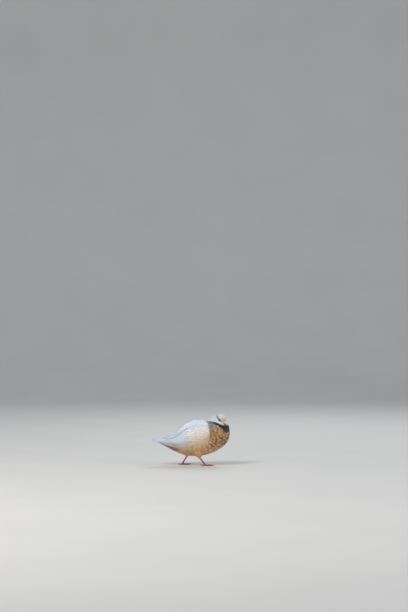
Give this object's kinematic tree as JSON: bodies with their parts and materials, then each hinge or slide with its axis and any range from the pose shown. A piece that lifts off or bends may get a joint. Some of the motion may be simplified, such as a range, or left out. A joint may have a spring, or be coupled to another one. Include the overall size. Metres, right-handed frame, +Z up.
{
  "type": "feral pigeon",
  "caption": "Life-size still model of a standing feral pigeon, fluffed out, with its head drawn in and turned to its right, looking down.",
  "frame": {"origin": "on the floor, under the middle of the whole bird's box", "axes": "+X to the breast, -X to the tail tip, -Y to the bird's right side, +Z up"},
  "size_m": [0.2734, 0.1084, 0.1797],
  "materials": {
    "head_plumage": "matt white feathers",
    "neck_plumage": "dark green to violet feathers with a sheen",
    "body_plumage": "matt mottled brown feathers",
    "wing_plumage": "matt cream to bluish white feathers",
    "tail_plumage": "matt white feathers",
    "thigh_plumage": "matt tan feathers",
    "leg_skin": "satin pink scaly skin",
    "claw_horn": "satin dark horn",
    "bill_horn": "satin brown horn",
    "cere_skin": "matt powdery white skin",
    "eye": "wet gloss"
  },
  "bodies": {
    "root": {"bill_lower": "bill_horn", "bill_upper": "bill_horn", "cere": "cere_skin", "claw_hallux_left": "claw_horn", "claw_hallux_right": "claw_horn", "claw_inner_left": "claw_horn", "claw_inner_right": "claw_horn", "claw_middle_left": "claw_horn", "claw_middle_right": "claw_horn", "claw_outer_left": "claw_horn", "claw_outer_right": "claw_horn", "eye_left": "eye", "eye_right": "eye", "flight_feathers_left": "wing_plumage", "flight_feathers_right": "wing_plumage", "head": "head_plumage", "neck": "neck_plumage", "shank_left": "leg_skin", "shank_right": "leg_skin", "tail": "tail_plumage", "thigh_left": "thigh_plumage", "thigh_right": "thigh_plumage", "toe_hallux_left": "leg_skin", "toe_hallux_right": "leg_skin", "toe_inner_left": "leg_skin", "toe_inner_right": "leg_skin", "toe_middle_left": "leg_skin", "toe_middle_right": "leg_skin", "toe_outer_left": "leg_skin", "toe_outer_right": "leg_skin", "trunk": "body_plumage", "wing_left": "wing_plumage", "wing_right": "wing_plumage"}
  },
  "joints": []
}
